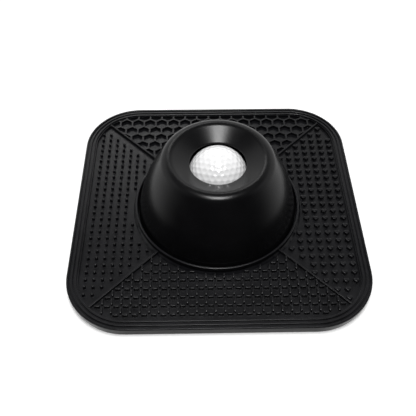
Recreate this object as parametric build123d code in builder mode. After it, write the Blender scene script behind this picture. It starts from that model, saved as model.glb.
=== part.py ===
"""Roller-ball lick mat: a square rubber mat with four textured fields, and a dome in its middle that holds
a dimpled ball. Millimetres, +Z up, origin at the centre of the underside, +Y towards the honeycomb field."""

from build123d import *
from math import asin, atan2, cos, hypot, radians, sin, sqrt, tan
import os

os.makedirs("parts", exist_ok=True)

# ---- Driving sizes of the mat ----
mat_side = 210.0            # square, over the top of the outer wall
mat_corner_radius = 42.0
mat_height = 8.5            # table to the top of the rim
wall_lean = 1.2             # the outer wall leans in by this much at the table
rim_width = 8.0             # outer wall to the edge of the fields
bead_count = 3              # raised lines that run round the rim
bead_pitch = 2.8
bead_width = 1.5
bead_height = 1.1
bead_round = 0.4             # rounding of the raised lines' top edges
field_floor_z = 5.5         # floor that the textures stand on
field_skin = 2.5            # thickness of the rubber under the fields
skirt_width = 9.0           # solid band under the rim that stands on the table
rib_width = 1.4             # four diagonal ribs between the fields
rib_height = 2.4
rib_overrun = 0.5           # how far each rib runs into the rim
rib_round = 0.45            # rounding of the ribs' top edges
underside_web_width = 8.0   # solid bands under the ribs

# ---- Driving sizes of the well that the dome plugs into ----
collar_gap = 0.8            # between the dome's foot and the collar
collar_lip_width = 1.8
collar_lip_round = 0.7      # rounding of the lip's two top edges
collar_top_z = 11.2
collar_foot = 1.6           # rounding where the collar meets the fields
well_floor_z = 2.5
locating_ring_width = 3.2
locating_ring_height = 4.0
hub_margin = 4.0            # solid underside beyond the collar

# ---- Driving sizes of the textures ----
nub_radius = 1.1
nub_height = 2.5
nub_round = 0.5             # rounding of a nub's top edge
nub_columns = 8
nub_pitch_x = 5.88
nub_pitch_y = 5.9
nub_first_x = 92.2
nub_middle_y = -0.6         # middle row
nub_rib_gap = 8.0           # |x| - |y| that a nub needs to stay off the ribs
heart_width = 4.6
heart_height = 2.3
heart_pitch_x = 6.9
heart_pitch_y = 6.81
heart_middle_y = -0.9       # middle row
heart_first_x = 93.7
heart_columns = 7
heart_rib_gap = 3.9
heart_lobe_radius = 1.25
heart_lobe_y = 0.8          # middle of the lobes, above the middle of the heart
heart_tip_y = -2.3          # point of the heart, below its middle
heart_notch = 0.3           # how far the notch stands above the lobes' middle
bar_length_across = 3.8
bar_length_along = 4.4
bar_width = 1.3
bar_height = 2.4
bar_pitch_x = 6.3
bar_pitch_y = 6.6
bar_first_y = 93.4
bar_rib_gap = 2.0
bar_collar_gap = 1.7        # plain band between the collar and the nearest bars' middles
bar_last_y = 45.2           # the rows stop at this distance from the middle
cell_pitch = 9.9            # honeycomb, across flats from wall centre to wall centre
cell_wall = 1.3
cell_height = 2.4
cell_row_y = 88.0           # one row of cell centres lies at this distance from the middle
texture_collar_gap = 3.4    # plain band between the collar and the nearest nubs and hearts

# ---- Driving sizes of the dome, ball and what carries the ball ----
dome_base_radius = 58.7
dome_wall = 3.0
dome_foot_height = 4.4      # straight stretch at the bottom of the dome
dome_bulge = 3.5            # how far the side swells beyond a plain cone
ball_hold = 1.685           # the hole's radius is this much smaller than the ball's
hole_top_z = 51.8
funnel_angle = 28.0         # the top slopes down to the hole
shoulder_radius = 36.5      # where side and top would meet if they weren't rounded
shoulder_round = 6.8
ball_radius = 21.335
ball_cover_wall = 1.9
ball_centre_z = 39.4
seat_radius = 14.9          # middle of the ring that the ball stands on
seat_width = 5.0
seat_height = 4.6
seat_depth = 1.4            # how deep the ball's hollow starts above the ring's foot
post_wall = 3.2
tray_gap = 1.2              # between the tray and the locating ring
tray_floor = 2.0
tray_wall = 2.0
tray_height = 9.0

# ---- Clearances ----
rest_gap = 0.1              # flat faces that rest on each other on different bodies
run_gap = 0.3               # turning or lifting pieces

# ---- Places worked out from the sizes ----
field_side = mat_side - 2 * rim_width
field_corner_radius = mat_corner_radius - rim_width
rim_top_z = mat_height - bead_height
rib_top_z = field_floor_z + rib_height
position_slack = 0.01
well_radius = dome_base_radius + collar_gap
collar_outer_radius = well_radius + collar_lip_width
hole_radius = ball_radius - ball_hold
dome_base_z = well_floor_z + rest_gap
dome_inner_radius = dome_base_radius - dome_wall
locating_ring_radius = dome_inner_radius - run_gap
tray_radius = locating_ring_radius - locating_ring_width - tray_gap
texture_inner_radius = collar_outer_radius + texture_collar_gap
hub_radius = collar_outer_radius + hub_margin
diagonals = (45, 135)


def square_ring(inset_outer, inset_inner):
    """Sketches the band between two rounded squares, given how far each lies inside the mat's outline."""
    RectangleRounded(mat_side - 2 * inset_outer, mat_side - 2 * inset_outer, mat_corner_radius - inset_outer)
    RectangleRounded(mat_side - 2 * inset_inner, mat_side - 2 * inset_inner, mat_corner_radius - inset_inner,
                     mode=Mode.SUBTRACT)


def inside_field(x, y, margin):
    """True where a texture element of that half-size stays inside the rim, corners included."""
    straight = field_side / 2 - margin
    if abs(x) > straight or abs(y) > straight:
        return False
    corner = field_side / 2 - field_corner_radius
    across, along = abs(x) - corner, abs(y) - corner
    return across <= 0 or along <= 0 or hypot(across, along) <= field_corner_radius - margin


def save(piece, name):
    """Labels a finished piece and writes its STEP file."""
    piece.part.label = name
    export_step(piece.part, f"parts/{name}.step")


# ---- Mat body: rubber moulding with skirt, rim, ribs, collar and well ----
with BuildPart() as mat_body:
    foot_side = mat_side - 2 * wall_lean
    with BuildSketch(Plane.XY):
        RectangleRounded(foot_side, foot_side, mat_corner_radius - wall_lean)
    with BuildSketch(Plane.XY.offset(rim_top_z)):
        RectangleRounded(mat_side, mat_side, mat_corner_radius)
    loft(ruled=True)
    # raised lines on the rim
    with BuildSketch(Plane.XY.offset(rim_top_z)):
        for bead in range(bead_count):
            first = bead * bead_pitch
            with BuildSketch(Plane.XY, mode=Mode.PRIVATE) as band:
                square_ring(first, first + bead_width)
            add(band.sketch)
    extrude(amount=bead_height)
    fillet(mat_body.edges().group_by(Axis.Z)[-1], radius=bead_round)
    # floor of the fields
    with BuildSketch(Plane.XY.offset(field_floor_z)):
        RectangleRounded(field_side, field_side, field_corner_radius)
    extrude(amount=mat_height, mode=Mode.SUBTRACT)
    # diagonal ribs, from the collar into the rim
    rib_reach = field_side / sqrt(2) - field_corner_radius * (sqrt(2) - 1)
    with BuildSketch(Plane.XY.offset(field_floor_z)):
        for turn in diagonals:
            Rectangle(2 * (rib_reach + rib_overrun), rib_width, rotation=turn)
    extrude(amount=rib_height)
    fillet(mat_body.edges().filter_by_position(Axis.Z, rib_top_z - position_slack, rib_top_z + position_slack)
           .filter_by(lambda edge: edge.length > rib_reach / 2), radius=rib_round)
    # collar, then the well inside it
    with BuildSketch(Plane.XZ):
        with BuildLine():
            Polyline((0, field_floor_z), (collar_outer_radius + collar_foot, field_floor_z),
                     (collar_outer_radius, field_floor_z + collar_foot), (collar_outer_radius, collar_top_z),
                     (0, collar_top_z), close=True)
        make_face()
    revolve(axis=Axis.Z)
    with BuildSketch(Plane.XY.offset(well_floor_z)):
        Circle(well_radius)
    extrude(amount=collar_top_z, mode=Mode.SUBTRACT)
    lip_edges = mat_body.edges().filter_by(GeomType.CIRCLE).group_by(Axis.Z)[-1]
    fillet(lip_edges, radius=collar_lip_round)
    # ring that the dome is pushed over
    with BuildSketch(Plane.XY.offset(well_floor_z)):
        Circle(locating_ring_radius)
        Circle(locating_ring_radius - locating_ring_width, mode=Mode.SUBTRACT)
    extrude(amount=locating_ring_height)
    # four pockets under the fields leave a skirt, a hub and diagonal webs on the table
    with BuildSketch(Plane.XY):
        pocket_side = foot_side - 2 * skirt_width
        RectangleRounded(pocket_side, pocket_side, mat_corner_radius - wall_lean - skirt_width)
        Circle(hub_radius, mode=Mode.SUBTRACT)
        for turn in diagonals:
            Rectangle(2 * mat_side, underside_web_width, rotation=turn, mode=Mode.SUBTRACT)
    extrude(amount=field_floor_z - field_skin, mode=Mode.SUBTRACT)
save(mat_body, "mat_body")

# ---- Nub field, left: rows of round nubs ----
nub_rows = int(field_side / 2 / nub_pitch_y)
nub_spots = [(-(nub_first_x - column * nub_pitch_x), nub_middle_y + row * nub_pitch_y)
             for column in range(nub_columns) for row in range(-nub_rows, nub_rows + 1)]
nub_spots = [(x, y) for x, y in nub_spots
             if abs(x) - abs(y) >= nub_rib_gap and hypot(x, y) >= texture_inner_radius
             and inside_field(x, y, nub_radius)]
with BuildPart() as nub_field:
    with BuildSketch(Plane.XY.offset(field_floor_z)):
        with Locations(*nub_spots):
            Circle(nub_radius)
    extrude(amount=nub_height)
    fillet(nub_field.edges().group_by(Axis.Z)[-1], radius=nub_round)
save(nub_field, "nub_field")

# ---- Heart field, right: rows of small hearts whose points face the front; ribs cut into the nearest ones ----
lobe_x = heart_width / 2 - heart_lobe_radius
lobe_above_tip = heart_lobe_y - heart_tip_y
tip_to_lobe = hypot(lobe_x, lobe_above_tip)
side_angle = atan2(lobe_above_tip, lobe_x) - asin(heart_lobe_radius / tip_to_lobe)
side_length = sqrt(tip_to_lobe ** 2 - heart_lobe_radius ** 2)
side_x = side_length * cos(side_angle)
side_y = heart_tip_y + side_length * sin(side_angle)
heart_rows = int(field_side / 2 / heart_pitch_y)
heart_spots = [(heart_first_x - column * heart_pitch_x, heart_middle_y + row * heart_pitch_y)
               for column in range(heart_columns) for row in range(-heart_rows, heart_rows + 1)]
heart_spots = [(x, y) for x, y in heart_spots
               if abs(x) - abs(y) >= heart_rib_gap and hypot(x, y) >= texture_inner_radius
               and inside_field(x, y, heart_width / 2)]
with BuildSketch() as heart:
    with Locations((lobe_x, heart_lobe_y), (-lobe_x, heart_lobe_y)):
        Circle(heart_lobe_radius)
    with BuildLine():
        Polyline((0, heart_tip_y), (side_x, side_y), (0, heart_lobe_y + heart_notch), (-side_x, side_y), close=True)
    make_face()
with BuildPart() as heart_field:
    with BuildSketch(Plane.XY.offset(field_floor_z)):
        with Locations(*heart_spots):
            add(heart.sketch)
        for turn in diagonals:
            Rectangle(2 * rib_reach, rib_width, rotation=turn, mode=Mode.SUBTRACT)
    extrude(amount=heart_height)
save(heart_field, "heart_field")

# ---- Bar field, front: short bars on the sides of a square grid, open at its corners ----
bar_columns = int(field_side / 2 / bar_pitch_x)
bar_rows = int((bar_first_y - bar_last_y) / bar_pitch_y) + 1
across_spots = [(column * bar_pitch_x, -(bar_first_y - row * bar_pitch_y))
                for column in range(-bar_columns, bar_columns + 1) for row in range(bar_rows)]
along_spots = [((column + 0.5) * bar_pitch_x, -(bar_first_y - (row + 0.5) * bar_pitch_y))
               for column in range(-bar_columns, bar_columns) for row in range(bar_rows)]


def clear_bars(spots, half_across):
    """Keeps the bars that stay off the ribs, the collar and the rim."""
    return [(x, y) for x, y in spots
            if abs(y) - abs(x) >= bar_rib_gap + half_across
            and hypot(x, y) >= collar_outer_radius + bar_collar_gap and inside_field(x, y, half_across)]


with BuildPart() as bar_field:
    with BuildSketch(Plane.XY.offset(field_floor_z)):
        with Locations(*clear_bars(across_spots, bar_length_across / 2)):
            SlotOverall(bar_length_across, bar_width)
        with Locations(*clear_bars(along_spots, bar_width / 2)):
            SlotOverall(bar_length_along, bar_width, rotation=90)
        Circle(collar_outer_radius + collar_foot, mode=Mode.SUBTRACT)
        for turn in diagonals:
            Rectangle(2 * rib_reach, rib_width, rotation=turn, mode=Mode.SUBTRACT)
    extrude(amount=bar_height)
save(bar_field, "bar_field")

# ---- Honeycomb field, back: thin walls round six-sided cells ----
cell_row_pitch = cell_pitch * sqrt(3) / 2
cell_corner_radius = (cell_pitch - cell_wall) / sqrt(3)
cell_rows_out = int((field_side / 2 - cell_row_y) / cell_row_pitch) + 1
cell_rows_in = int(cell_row_y / cell_row_pitch)
cell_columns = int(field_side / 2 / cell_pitch) + 1
cell_spots = [((column + 0.5 * (row % 2 == 0)) * cell_pitch, cell_row_y + row * cell_row_pitch)
              for row in range(-cell_rows_in, cell_rows_out + 1)
              for column in range(-cell_columns, cell_columns + 1)]
cell_spots = [(x, y) for x, y in cell_spots
              if y + cell_pitch > abs(x) and hypot(x, y) + cell_pitch > collar_outer_radius]
rib_edge_y = rib_width / sqrt(2)
with BuildPart() as honeycomb_field:
    with BuildSketch(Plane.XY.offset(field_floor_z)):
        RectangleRounded(field_side, field_side, field_corner_radius)
        with BuildLine():
            Polyline((0, rib_edge_y), (field_side, field_side + rib_edge_y), (-field_side, field_side + rib_edge_y),
                     close=True)
        make_face(mode=Mode.INTERSECT)
        Circle(collar_outer_radius + collar_foot, mode=Mode.SUBTRACT)
        with Locations(*cell_spots):
            RegularPolygon(cell_corner_radius, 6, rotation=30, mode=Mode.SUBTRACT)
    extrude(amount=cell_height)
save(honeycomb_field, "honeycomb_field")

# ---- Dome: one moulded shell, plugged into the well, with the ball's hole in its dished top ----
slope = tan(radians(funnel_angle))
shoulder_z = hole_top_z + (shoulder_radius - hole_radius) * slope
side_start_z = dome_base_z + dome_foot_height
side_middle = ((dome_base_radius + shoulder_radius) / 2 + dome_bulge, (side_start_z + shoulder_z) / 2)
with BuildPart() as dome:
    with BuildSketch(Plane.XZ):
        with BuildLine() as outside:
            Line((dome_base_radius, dome_base_z), (dome_base_radius, side_start_z))
            ThreePointArc((dome_base_radius, side_start_z), side_middle, (shoulder_radius, shoulder_z))
            Line((shoulder_radius, shoulder_z), (hole_radius, hole_top_z))
            fillet(outside.vertices().sort_by(Axis.Y)[-1], radius=shoulder_round)
            offset(amount=dome_wall, side=Side.LEFT, closed=True)
        make_face()
    revolve(axis=Axis.Z)
save(dome, "dome")

# ---- Tray: drops inside the locating ring and carries the hollow post for the ball's seat ring ----
seat_outer_radius = seat_radius + seat_width / 2
seat_inner_radius = seat_radius - seat_width / 2
seat_ball_radius = ball_radius + run_gap
seat_base_z = ball_centre_z - sqrt(seat_ball_radius ** 2 - seat_inner_radius ** 2) - seat_depth
post_top_z = seat_base_z - rest_gap
post_outer_radius = seat_outer_radius + run_gap + post_wall / 2
with BuildPart() as ball_tray:
    with BuildSketch(Plane.XY.offset(well_floor_z)):
        Circle(tray_radius)
    extrude(amount=tray_floor)
    with BuildSketch(Plane.XY.offset(well_floor_z)):
        Circle(tray_radius)
        Circle(tray_radius - tray_wall, mode=Mode.SUBTRACT)
    extrude(amount=tray_height)
    with BuildSketch(Plane.XZ):
        with BuildLine():
            Polyline((seat_inner_radius, well_floor_z + tray_floor / 2),
                     (post_outer_radius + post_wall, well_floor_z + tray_floor / 2),
                     (post_outer_radius, post_top_z - post_wall),
                     (post_outer_radius, post_top_z + seat_height / 2),
                     (seat_outer_radius + run_gap, post_top_z + seat_height / 2),
                     (seat_outer_radius + run_gap, post_top_z),
                     (seat_inner_radius, post_top_z), close=True)
        make_face()
    revolve(axis=Axis.Z)
save(ball_tray, "ball_tray")

# ---- Seat ring: slippery loose ring, hollowed to the ball, free to turn on the post ----
with BuildPart() as seat_ring:
    with BuildSketch(Plane.XY.offset(seat_base_z)):
        Circle(seat_outer_radius)
        Circle(seat_inner_radius, mode=Mode.SUBTRACT)
    extrude(amount=seat_height)
    with Locations((0, 0, ball_centre_z)):
        Sphere(seat_ball_radius, mode=Mode.SUBTRACT)
save(seat_ring, "seat_ring")

# ---- Ball: solid core in a moulded cover ----
core_radius = ball_radius - ball_cover_wall
with BuildPart() as ball_core:
    with Locations((0, 0, ball_centre_z)):
        Sphere(core_radius)
save(ball_core, "ball_core")
with BuildPart() as ball_cover:
    with Locations((0, 0, ball_centre_z)):
        Sphere(ball_radius)
        Sphere(core_radius, mode=Mode.SUBTRACT)
save(ball_cover, "ball_cover")
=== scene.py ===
import bmesh
import bpy
import numpy as np
from math import cos, pi, radians, sin, sqrt
from mathutils import Matrix, Vector


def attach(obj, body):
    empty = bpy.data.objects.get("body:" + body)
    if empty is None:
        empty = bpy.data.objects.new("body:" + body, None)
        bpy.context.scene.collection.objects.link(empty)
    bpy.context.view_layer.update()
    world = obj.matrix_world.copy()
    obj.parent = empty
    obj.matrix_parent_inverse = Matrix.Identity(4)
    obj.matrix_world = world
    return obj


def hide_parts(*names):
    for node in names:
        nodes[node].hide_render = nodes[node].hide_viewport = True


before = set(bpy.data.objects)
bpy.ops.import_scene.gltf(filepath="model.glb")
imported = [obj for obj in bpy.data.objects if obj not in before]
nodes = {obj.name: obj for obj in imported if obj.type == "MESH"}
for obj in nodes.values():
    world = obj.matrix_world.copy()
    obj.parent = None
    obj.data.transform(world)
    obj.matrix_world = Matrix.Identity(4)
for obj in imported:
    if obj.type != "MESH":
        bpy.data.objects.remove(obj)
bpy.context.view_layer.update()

mm = 0.001


# ---- Mat ----
# One compression-moulded sheet of black rubber: skirt, rim with three raised lines, ribs, collar and well.
# It carries the four textures and everything else stands in its well. It leaves the mould with a fine spark
# grain and slightly cloudy, so its black varies a little from place to place.

def moulded_grain():
    """Group: mottled colour and roughness from a coarse noise, and a grainy normal from a fine one."""
    group = bpy.data.node_groups.new("moulded_grain", "ShaderNodeTree")
    for name, kind in (("Coordinates", "NodeSocketVector"), ("Mottle Scale", "NodeSocketFloat"),
                       ("Grain Scale", "NodeSocketFloat"), ("Grain Depth", "NodeSocketFloat"),
                       ("Dark", "NodeSocketColor"), ("Light", "NodeSocketColor"),
                       ("Smoothest", "NodeSocketFloat"), ("Roughest", "NodeSocketFloat")):
        group.interface.new_socket(name=name, in_out="INPUT", socket_type=kind)
    for name, kind in (("Color", "NodeSocketColor"), ("Roughness", "NodeSocketFloat"),
                       ("Normal", "NodeSocketVector")):
        group.interface.new_socket(name=name, in_out="OUTPUT", socket_type=kind)
    new, link = group.nodes.new, group.links.new
    inside, outside = new("NodeGroupInput"), new("NodeGroupOutput")
    mottle = new("ShaderNodeTexNoise")
    mottle.inputs["Detail"].default_value = 5.0
    mottle.inputs["Roughness"].default_value = 0.65
    link(inside.outputs["Coordinates"], mottle.inputs["Vector"])
    link(inside.outputs["Mottle Scale"], mottle.inputs["Scale"])
    spread = new("ShaderNodeMapRange")
    spread.inputs["From Min"].default_value, spread.inputs["From Max"].default_value = 0.32, 0.68
    link(mottle.outputs["Fac"], spread.inputs["Value"])
    tint = new("ShaderNodeMix")
    tint.data_type = "RGBA"
    link(spread.outputs["Result"], tint.inputs["Factor"])
    link(inside.outputs["Dark"], tint.inputs[6])
    link(inside.outputs["Light"], tint.inputs[7])
    link(tint.outputs[2], outside.inputs["Color"])
    gloss = new("ShaderNodeMapRange")
    link(spread.outputs["Result"], gloss.inputs["Value"])
    link(inside.outputs["Smoothest"], gloss.inputs["To Min"])
    link(inside.outputs["Roughest"], gloss.inputs["To Max"])
    link(gloss.outputs["Result"], outside.inputs["Roughness"])
    grain = new("ShaderNodeTexNoise")
    grain.inputs["Detail"].default_value = 3.0
    link(inside.outputs["Coordinates"], grain.inputs["Vector"])
    link(inside.outputs["Grain Scale"], grain.inputs["Scale"])
    bump = new("ShaderNodeBump")
    bump.inputs["Distance"].default_value = 0.0001
    link(inside.outputs["Grain Depth"], bump.inputs["Strength"])
    link(grain.outputs["Fac"], bump.inputs["Height"])
    link(bump.outputs["Normal"], outside.inputs["Normal"])
    return group


grain_group = moulded_grain()


def moulding(name, dark, light, smoothest, roughest, specular, mottle=90.0, grain=3000.0, depth=0.1, **constants):
    """Material: one moulded plastic or rubber, with the grain group's colour, roughness and normal."""
    material = bpy.data.materials.new(name)
    material.use_nodes = True
    new, link = material.node_tree.nodes.new, material.node_tree.links.new
    shader = material.node_tree.nodes["Principled BSDF"]
    shader.inputs["Specular IOR Level"].default_value = specular
    for socket, value in constants.items():
        shader.inputs[socket.replace("_", " ")].default_value = value
    place, finish = new("ShaderNodeTexCoord"), new("ShaderNodeGroup")
    finish.node_tree = grain_group
    for socket, value in (("Mottle Scale", mottle), ("Grain Scale", grain), ("Grain Depth", depth),
                          ("Dark", (*dark, 1)), ("Light", (*light, 1)),
                          ("Smoothest", smoothest), ("Roughest", roughest)):
        finish.inputs[socket].default_value = value
    link(place.outputs["Object"], finish.inputs["Coordinates"])
    link(finish.outputs["Color"], shader.inputs["Base Color"])
    link(finish.outputs["Roughness"], shader.inputs["Roughness"])
    link(finish.outputs["Normal"], shader.inputs["Normal"])
    return material


def dress(obj, material):
    """Gives every material slot of a piece the same material."""
    if not obj.material_slots:
        obj.data.materials.append(material)
    for place in obj.material_slots:
        place.material = material


black_rubber = moulding("black_rubber", (0.003, 0.003, 0.0038), (0.005, 0.005, 0.0064), 0.28, 0.36, 0.33,
                        grain=2600.0, depth=0.35)
dress(nodes["mat_body"], black_rubber)


# ---- Nub field ----
# Rows of round nubs on the left field, moulded with the mat. Each is a short peg with a rounded head and
# a slightly wider foot, so it comes out of the mould.

def pegs(name, outline, levels, spots, turns=(0.0,)):
    """Closed pegs on many spots: shrinking copies of one outline, stacked at (share of outline, height) levels
    and closed by a middle point below and above. outline is (points, 2); each spot has its own turn."""
    spots = np.asarray(spots, float)
    turns = np.resize(np.asarray(turns, float), len(spots))
    shares, heights = np.array(levels, float).T
    points, rings = len(outline), len(levels)
    ring = outline[None, :, :] * shares[:, None, None]
    one = np.concatenate([ring, np.broadcast_to(heights[:, None, None], (rings, points, 1))], axis=2).reshape(-1, 3)
    one = np.vstack([one, [(0, 0, heights[0]), (0, 0, heights[-1])]])
    c, s = np.cos(turns)[:, None], np.sin(turns)[:, None]
    x = one[None, :, 0] * c - one[None, :, 1] * s + spots[:, :1]
    y = one[None, :, 0] * s + one[None, :, 1] * c + spots[:, 1:2]
    z = np.broadcast_to(one[None, :, 2], x.shape)
    verts = np.stack([x, y, z], axis=2).reshape(-1, 3) * mm
    around = np.arange(points)
    after = (around + 1) % points
    level = np.arange(rings - 1)[:, None] * points
    walls = np.stack([level + around, level + after, level + points + after, level + points + around],
                     axis=2).reshape(-1, 4)
    low, high = rings * points, rings * points + 1
    base = np.stack([after, around, np.full(points, low)], axis=1)
    top = (rings - 1) * points
    crown = np.stack([top + around, top + after, np.full(points, high)], axis=1)
    step = (np.arange(len(spots)) * len(one))[:, None, None]
    quads = (walls[None] + step).reshape(-1, 4)
    tris = (np.vstack([base, crown])[None] + step).reshape(-1, 3)
    mesh = bpy.data.meshes.new(name)
    mesh.from_pydata(verts.tolist(), [], quads.tolist() + tris.tolist())
    mesh.shade_smooth()
    piece = bpy.data.objects.new(name, mesh)
    bpy.context.scene.collection.objects.link(piece)
    return piece


field_half, field_corner = 97.0, 34.0
foot_z = 5.4              # every peg starts just under the fields' floor
texture_start = 64.7      # from the middle to the nearest nubs and hearts


def on_field(x, y, margin, rib_gap, from_middle, across):
    """True where an element of that half-size lies on its field: off the rib, the collar and the rim."""
    u, v = (x, y) if across else (y, x)
    far, near = np.maximum(np.abs(x), np.abs(y)), np.minimum(np.abs(x), np.abs(y))
    straight = field_half - field_corner
    past = np.hypot(np.maximum(far - straight, 0), np.maximum(near - straight, 0))
    inside = (past <= field_corner - margin) & (far <= field_half - margin)
    return inside & (np.abs(u) - np.abs(v) >= rib_gap) & (np.hypot(x, y) >= from_middle)


nub_radius, nub_rib_gap = 1.1, 8.0
nub_first_x, nub_pitch_x, nub_columns = -92.2, 5.88, 8
nub_middle_y, nub_pitch_y, nub_rows_out = -0.6, 5.9, 16
nub_x, nub_y = np.meshgrid(nub_first_x + nub_pitch_x * np.arange(nub_columns),
                           nub_middle_y + nub_pitch_y * np.arange(-nub_rows_out, nub_rows_out + 1))
keep = on_field(nub_x, nub_y, nub_radius, nub_rib_gap, texture_start, True)
turn = np.linspace(0, 2 * pi, 16, endpoint=False)
circle = np.stack([np.cos(turn), np.sin(turn)], axis=1)
nub_levels = [(1.3, foot_z), (1.25, 5.54), (1.14, 5.75), (1.09, 6.2), (1.04, 7.1), (0.95, 7.55), (0.72, 7.86),
              (0.38, 7.98)]
nubs = pegs("nubs", circle, nub_levels, np.stack([nub_x[keep], nub_y[keep]], axis=1))
dress(nubs, black_rubber)
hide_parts("nub_field")
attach(nubs, "mat")


# ---- Heart field ----
# Rows of small raised hearts on the right field, moulded with the mat. Their points face the front and their
# tops are softly rounded.
heart_half_width, heart_y_scale, heart_rib_gap = 2.3, 0.138, 3.9
heart_first_x, heart_pitch_x, heart_columns = 93.7, 6.9, 7
heart_middle_y, heart_pitch_y, heart_rows_out = -0.9, 6.81, 14
heart_x, heart_y = np.meshgrid(heart_first_x - heart_pitch_x * np.arange(heart_columns),
                               heart_middle_y + heart_pitch_y * np.arange(-heart_rows_out, heart_rows_out + 1))
keep = on_field(heart_x, heart_y, heart_half_width, heart_rib_gap, texture_start, True)
turn = np.linspace(0, 2 * pi, 28, endpoint=False)
heart_curve = 13 * np.cos(turn) - 5 * np.cos(2 * turn) - 2 * np.cos(3 * turn) - np.cos(4 * turn)
heart = np.stack([heart_half_width * np.sin(turn) ** 3, heart_y_scale * heart_curve], axis=1)[::-1]
heart_levels = [(1.0, foot_z), (0.99, 5.65), (0.97, 6.8), (0.92, 7.4), (0.82, 7.68), (0.55, 7.79)]
hearts = pegs("hearts", heart, heart_levels, np.stack([heart_x[keep], heart_y[keep]], axis=1))
dress(hearts, black_rubber)
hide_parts("heart_field")
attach(hearts, "mat")


# ---- Bar field ----
# Short blunt bars on the sides of a square grid on the front field, open at the grid's corners, moulded
# with the mat.
bar_half_length, bar_half_width, blunt = 1.9, 0.65, 0.35
along_stretch = 1.16      # the bars that run front to back are a little longer
bar_pitch_x, bar_pitch_y, bar_first_y = 6.3, 6.6, 93.4
bar_columns_out, bar_rows = 15, 8
bar_rib_gap, bars_start = 2.0, 63.0
row_y = -(bar_first_y - bar_pitch_y * np.arange(bar_rows))
columns = np.arange(-bar_columns_out, bar_columns_out + 1)
across_x, across_y = np.meshgrid(bar_pitch_x * columns, row_y)
along_x, along_y = np.meshgrid(bar_pitch_x * (columns[:-1] + 0.5), row_y + bar_pitch_y / 2)
keep_across = on_field(across_x, across_y, bar_half_length, bar_rib_gap + bar_half_length, bars_start, False)
keep_along = on_field(along_x, along_y, bar_half_width, bar_rib_gap + bar_half_width, bars_start, False)
turn = np.linspace(0, 2 * pi, 20, endpoint=False)
stick = np.sign([np.cos(turn), np.sin(turn)]) * np.abs([np.cos(turn), np.sin(turn)]) ** blunt
stick = stick.T * (bar_half_length, bar_half_width)
bar_levels = [(1.0, foot_z), (0.99, 5.65), (0.985, 7.35), (0.95, 7.72), (0.86, 7.86), (0.5, 7.9)]
across = pegs("bars_across", stick, bar_levels, np.stack([across_x[keep_across], across_y[keep_across]], axis=1))
along = pegs("bars_along", stick * (along_stretch, 1.0), bar_levels,
             np.stack([along_x[keep_along], along_y[keep_along]], axis=1), turns=(pi / 2,))
for bars in (across, along):
    dress(bars, black_rubber)
    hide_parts("bar_field")
    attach(bars, "mat")


# ---- Honeycomb field ----
# Thin walls round six-sided cells on the back field, moulded with the mat. Their edges leave the mould
# slightly rounded.
edge_round, weld_distance = 0.3 * mm, 0.01 * mm
flat_angle, edge_angle = radians(2), radians(50)
comb_mesh = nodes["honeycomb_field"].data.copy()
comb = bmesh.new()
comb.from_mesh(comb_mesh)
bmesh.ops.remove_doubles(comb, verts=comb.verts, dist=weld_distance)
bmesh.ops.dissolve_limit(comb, angle_limit=flat_angle, verts=comb.verts, edges=comb.edges)
comb.to_mesh(comb_mesh)
comb.free()
comb_mesh.shade_flat()
honeycomb = bpy.data.objects.new("honeycomb", comb_mesh)
bpy.context.scene.collection.objects.link(honeycomb)
rounding = honeycomb.modifiers.new("rounding", "BEVEL")
rounding.width, rounding.segments, rounding.limit_method = edge_round, 3, "ANGLE"
rounding.angle_limit = edge_angle
rounding.use_clamp_overlap = True
rounding.harden_normals = True
dress(honeycomb, black_rubber)
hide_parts("honeycomb_field")
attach(honeycomb, "mat")


# ---- Tray and seat ring ----
# The tray drops inside the mat's locating ring and its hollow post carries a loose, slippery ring, on which the
# ball turns. Both are moulded plastic: the tray matt black, the ring off-white and smooth.
tray_black = moulding("tray_black", (0.02, 0.02, 0.022), (0.03, 0.03, 0.033), 0.45, 0.6, 0.45, depth=0.2)
ring_white = moulding("ring_white", (0.68, 0.68, 0.64), (0.74, 0.74, 0.71), 0.22, 0.32, 0.5, depth=0.05)
dress(nodes["ball_tray"], tray_black)
dress(nodes["seat_ring"], ring_white)


# ---- Ball ----
# A solid rubber core in a glossy white moulded cover with 362 round dimples, all of one size, spread evenly.
ball_radius, ball_z = 21.335, 39.4
dimple_radius, dimple_depth = 1.86, 0.3
dimple_steps = 6          # gives 10 x 6 x 6 + 2 dimples


def even_spread(steps):
    """Directions of an icosahedron's faces, each divided into steps along its sides: (10 steps² + 2, 3)."""
    golden = (1 + sqrt(5)) / 2
    corners = np.array([(0, a, b * golden) for a in (-1, 1) for b in (-1, 1)])
    corners = np.vstack([np.roll(corners, shift, axis=1) for shift in range(3)])
    gaps = np.linalg.norm(corners[:, None] - corners[None], axis=2)
    near = np.abs(gaps - 2) < 0.01
    i, j, k = np.nonzero(near[:, :, None] & near[None] & near[:, None, :])
    faces = np.stack([i, j, k], axis=1)[(i < j) & (j < k)]
    a, b = np.meshgrid(np.arange(steps + 1), np.arange(steps + 1))
    share = np.stack([a, b, steps - a - b], axis=2).reshape(-1, 3)
    share = share[share[:, 2] >= 0] / steps
    spread = np.einsum("sf,tfx->tsx", share, corners[faces]).reshape(-1, 3)
    spread /= np.linalg.norm(spread, axis=1, keepdims=True)
    return np.unique(spread.round(6), axis=0)


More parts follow.
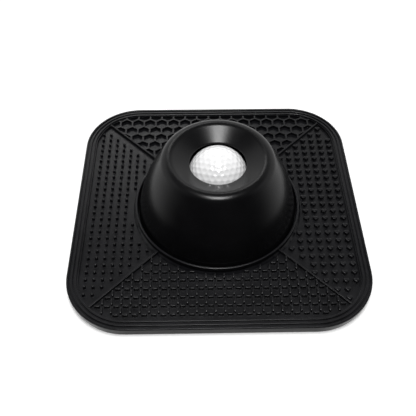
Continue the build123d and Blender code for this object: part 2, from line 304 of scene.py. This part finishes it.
dimples = even_spread(dimple_steps)
seam_distance = 0.02 * mm
cube_steps = 104          # the cover's mesh is a rounded cube with this many squares along each edge
edge = np.tan(np.linspace(-pi / 4, pi / 4, cube_steps + 1))
u, v = np.meshgrid(edge, edge)
sides = []
for turned in range(3):
    for sign in (-1, 1):
        side = np.stack([u * sign, v, np.full_like(u, sign)], axis=2)
        sides.append(np.roll(side, turned, axis=2).reshape(-1, 3))
around = np.concatenate(sides)
around /= np.linalg.norm(around, axis=1, keepdims=True)
near = np.concatenate([np.max(part @ dimples.T, axis=1) for part in np.array_split(around, 12)])
off = np.arccos(np.clip(near, -1, 1)) * ball_radius / dimple_radius
radius = ball_radius - dimple_depth * np.clip(1 - off ** 2, 0, 1)
verts = (around * radius[:, None] + (0, 0, ball_z)) * mm
row = np.arange(cube_steps)
start = (row[:, None] * (cube_steps + 1) + row[None]).ravel()
quad = np.stack([start, start + 1, start + cube_steps + 2, start + cube_steps + 1], axis=1)
quads = np.concatenate([quad + side * (cube_steps + 1) ** 2 for side in range(6)])
mesh = bpy.data.meshes.new("dimpled_cover")
mesh.from_pydata(verts.tolist(), [], quads.tolist())
seams = bmesh.new()
seams.from_mesh(mesh)
bmesh.ops.remove_doubles(seams, verts=seams.verts, dist=seam_distance)
bmesh.ops.recalc_face_normals(seams, faces=seams.faces)
seams.to_mesh(mesh)
seams.free()
mesh.shade_smooth()
dimpled_cover = bpy.data.objects.new("dimpled_cover", mesh)
bpy.context.scene.collection.objects.link(dimpled_cover)
cover_white = moulding("cover_white", (0.9, 0.9, 0.91), (0.93, 0.93, 0.93), 0.2, 0.3, 0.5, depth=0.03,
                       Coat_Weight=0.6, Coat_Roughness=0.12)
dress(dimpled_cover, cover_white)
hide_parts("ball_cover")
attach(dimpled_cover, "ball")
core_grey = moulding("core_grey", (0.2, 0.18, 0.16), (0.3, 0.28, 0.26), 0.6, 0.75, 0.3, mottle=200.0)
dress(nodes["ball_core"], core_grey)


# ---- Dome ----
# One shell of satin black plastic, 3 mm thick, with a swelling side, a rounded shoulder and a dished top whose
# hole keeps the ball in. Its foot pushes over the mat's locating ring.
base_radius, base_z, side_z = 58.7, 2.6, 7.0
hole_radius, hole_z, funnel = 19.65, 51.8, radians(28.0)
shoulder_radius, shoulder_round, bulge, wall = 36.5, 6.8, 3.5, 3.0
shoulder_z = hole_z + (shoulder_radius - hole_radius) * np.tan(funnel)


def swelling_side(steps):
    """Points on the circle through the side's bottom, its swollen middle and the shoulder's sharp corner."""
    low, high = np.array([base_radius, side_z]), np.array([shoulder_radius, shoulder_z])
    middle = np.array([(low[0] + high[0]) / 2 + bulge, (low[1] + high[1]) / 2])
    rows = 2 * np.array([middle - low, high - low])
    centre = np.linalg.solve(rows, [middle @ middle - low @ low, high @ high - low @ low])
    swell = np.linalg.norm(low - centre)
    first, last = (np.arctan2(*(point - centre)[::-1]) for point in (low, high))
    angle = np.linspace(first, last, steps)
    return centre + swell * np.stack([np.cos(angle), np.sin(angle)], axis=1), centre, swell


side_steps, side_stride = 240, 4     # the side is found finely and meshed at every fourth point
touch_steps, shoulder_steps, funnel_steps, foot_steps, end_steps, turn_steps = 20001, 40, 24, 6, 13, 192
side, swell_centre, swell = swelling_side(side_steps)
slope = np.array([cos(funnel), sin(funnel)])
slope_up = np.array([-sin(funnel), cos(funnel)])
hole = np.array([hole_radius, hole_z])
# the shoulder's round touches the funnel line and, from inside, the side's circle
reach = np.linspace(0, shoulder_radius, touch_steps)[:, None] * slope + hole - shoulder_round * slope_up
touch = np.argmin(np.abs(np.linalg.norm(reach - swell_centre, axis=1) - (swell - shoulder_round)))
round_centre = reach[touch]
leave = round_centre - swell_centre
leave_angle, top_angle = np.arctan2(leave[1], leave[0]), pi / 2 + funnel
side_angle = np.arctan2(*(side - swell_centre).T[::-1])
side = side[side_angle < leave_angle]
angle = np.linspace(leave_angle, top_angle, shoulder_steps)
shoulder = round_centre + shoulder_round * np.stack([np.cos(angle), np.sin(angle)], axis=1)
hole_edge, foot_edge = 0.8, 0.4      # depth of the rounded ends at the hole and at the foot
flat = np.linspace(shoulder[-1], hole + hole_edge * slope, funnel_steps)[1:]
skirt = np.linspace((base_radius, base_z + foot_edge), (base_radius, side_z), foot_steps)[:-1]
outer = np.vstack([skirt, side[::side_stride], shoulder, flat])
ahead = np.gradient(outer, axis=0)
ahead /= np.linalg.norm(ahead, axis=1, keepdims=True)
inner = outer - wall * np.stack([ahead[:, 1], -ahead[:, 0]], axis=1)
turn = np.linspace(0, pi, end_steps)[1:-1, None]


def rounded_end(start, end, depth):
    """Half an ellipse from start to end, standing out by depth on the side that lies ahead."""
    middle, half = (start + end) / 2, (start - end) / 2
    out = np.array([half[1], -half[0]]) / np.linalg.norm(half)
    return middle + np.cos(turn) * half + depth * np.sin(turn) ** 0.7 * out


profile = np.vstack([outer, rounded_end(outer[-1], inner[-1], -hole_edge), inner[::-1],
                     rounded_end(inner[0], outer[0], -foot_edge)])
turned = np.linspace(0, 2 * pi, turn_steps, endpoint=False)
verts = np.stack([profile[:, :1] * np.cos(turned), profile[:, :1] * np.sin(turned),
                  np.broadcast_to(profile[:, 1:], (len(profile), len(turned)))], axis=2).reshape(-1, 3) * mm
ring, spoke = np.meshgrid(np.arange(len(profile)), np.arange(len(turned)), indexing="ij")
ring_next, spoke_next = (ring + 1) % len(profile), (spoke + 1) % len(turned)
quads = np.stack([ring * len(turned) + spoke, ring * len(turned) + spoke_next,
                  ring_next * len(turned) + spoke_next, ring_next * len(turned) + spoke], axis=2).reshape(-1, 4)
mesh = bpy.data.meshes.new("dome_shell")
mesh.from_pydata(verts.tolist(), [], quads.tolist())
mesh.shade_smooth()
dome_shell = bpy.data.objects.new("dome_shell", mesh)
bpy.context.scene.collection.objects.link(dome_shell)
satin_black = moulding("satin_black", (0.003, 0.003, 0.0034), (0.0045, 0.0045, 0.005), 0.22, 0.27, 0.24,
                       mottle=60.0, grain=5000.0, depth=0.12)
dress(dome_shell, satin_black)
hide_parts("dome")
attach(dome_shell, "dome")


# ---- Floor ----
# A wide sheet of matt white paper under the mat. It glows a little, which keeps it pure white up to the mat's
# edge, and it stays out of glossy reflections.
floor_reach, floor_drop = 6.0, 0.0002
floor_mesh = bpy.data.meshes.new("paper_floor")
corners = [(-floor_reach, -floor_reach, 0), (floor_reach, -floor_reach, 0), (floor_reach, floor_reach, 0),
           (-floor_reach, floor_reach, 0)]
floor_mesh.from_pydata(corners, [], [(0, 1, 2, 3)])
floor = bpy.data.objects.new("paper_floor", floor_mesh)
bpy.context.scene.collection.objects.link(floor)
floor.location.z = -floor_drop
paper = bpy.data.materials.new("white_paper")
paper.use_nodes = True
shader = paper.node_tree.nodes["Principled BSDF"]
shader.inputs["Base Color"].default_value = (0.93, 0.93, 0.93, 1)
shader.inputs["Roughness"].default_value = 0.9
shader.inputs["Specular IOR Level"].default_value = 0.1
shader.inputs["Emission Color"].default_value = (1, 1, 1, 1)
shader.inputs["Emission Strength"].default_value = 0.22
floor_mesh.materials.append(paper)
floor.visible_glossy = False


# ---- Light ----
# A soft box overhead, a bright strip behind on the left, pale walls low round the sides and back, and a dark
# room above and in front.
def softbox(name, at, size, power, aim=(0, 0, 0.03)):
    """A rectangular area light that faces a point."""
    lamp = bpy.data.lights.new(name, "AREA")
    lamp.shape = "RECTANGLE"
    lamp.size, lamp.size_y, lamp.energy = *size, power
    box = bpy.data.objects.new(name, lamp)
    bpy.context.scene.collection.objects.link(box)
    box.location = at
    box.rotation_mode = "QUATERNION"
    box.rotation_quaternion = (Vector(aim) - Vector(at)).to_track_quat("-Z", "Y")
    return box


softbox("overhead_box", (0.0, -0.2, 1.05), (0.28, 0.42), 9.5)
softbox("back_strip", (-0.14, 0.95, 0.84), (0.4, 0.12), 0.75)

world = bpy.data.worlds.new("studio")
bpy.context.scene.world = world
world.use_nodes = True
tree = world.node_tree
tree.nodes.clear()
direction, split = tree.nodes.new("ShaderNodeTexCoord"), tree.nodes.new("ShaderNodeSeparateXYZ")
tree.links.new(direction.outputs["Generated"], split.inputs[0])
height = tree.nodes.new("ShaderNodeMapRange")
height.interpolation_type = "SMOOTHSTEP"
for socket, value in (("From Min", 0.56), ("From Max", 0.84), ("To Min", 0.9), ("To Max", 0.09)):
    height.inputs[socket].default_value = value
tree.links.new(split.outputs["Z"], height.inputs["Value"])
depth = tree.nodes.new("ShaderNodeMapRange")
depth.interpolation_type = "SMOOTHSTEP"
for socket, value in (("From Min", -0.6), ("From Max", 0.3), ("To Min", 0.02), ("To Max", 1.0)):
    depth.inputs[socket].default_value = value
tree.links.new(split.outputs["Y"], depth.inputs["Value"])
product = tree.nodes.new("ShaderNodeMath")
product.operation = "MULTIPLY"
tree.links.new(height.outputs["Result"], product.inputs[0])
tree.links.new(depth.outputs["Result"], product.inputs[1])
room = tree.nodes.new("ShaderNodeBackground")
room.inputs["Color"].default_value = (1, 1, 1, 1)
tree.links.new(product.outputs[0], room.inputs["Strength"])
plain = tree.nodes.new("ShaderNodeBackground")
plain.inputs["Color"].default_value = (1, 1, 1, 1)
plain.inputs["Strength"].default_value = 1.0
ray, mixed, out = (tree.nodes.new(f"ShaderNode{kind}") for kind in ("LightPath", "MixShader", "OutputWorld"))
tree.links.new(ray.outputs["Is Camera Ray"], mixed.inputs[0])
tree.links.new(room.outputs[0], mixed.inputs[1])
tree.links.new(plain.outputs[0], mixed.inputs[2])
tree.links.new(mixed.outputs[0], out.inputs[0])


# ---- Camera ----
# A 51 mm lens on a 36 mm sensor, 0.45 m from the mat's middle and looking down at 51 degrees. It is turned a few
# degrees round the mat and rolled slightly.
lens, sensor = 51.186, 36.0
distance, elevation, yaw = 0.4530, radians(51.169), radians(2.578)
pan, tilt, roll = radians(0.8683), radians(0.1479), radians(-1.328)
place = Vector((0, -distance * cos(elevation), distance * sin(elevation)))
ahead = -place.normalized()
right = Vector((1, 0, 0))
up = right.cross(ahead)
turn_up = Matrix.Rotation(pan, 3, up)
ahead, right = turn_up @ ahead, turn_up @ right
turn_right = Matrix.Rotation(tilt, 3, right)
ahead, up = turn_right @ ahead, turn_right @ up
turn_roll = Matrix.Rotation(roll, 3, ahead)
right, up = turn_roll @ right, turn_roll @ up
back_turn = Matrix.Rotation(-yaw, 3, "Z")
place, ahead, right, up = (back_turn @ part for part in (place, ahead, right, up))
camera = bpy.data.objects.new("camera", bpy.data.cameras.new("camera"))
camera.data.lens, camera.data.sensor_width = lens, sensor
camera.data.clip_start, camera.data.clip_end = 0.01, 20.0
camera.matrix_world = Matrix((right, up, -ahead)).transposed().to_4x4()
camera.location = place
bpy.context.scene.collection.objects.link(camera)
bpy.context.scene.camera = camera
bpy.context.scene.view_settings.view_transform = "Standard"
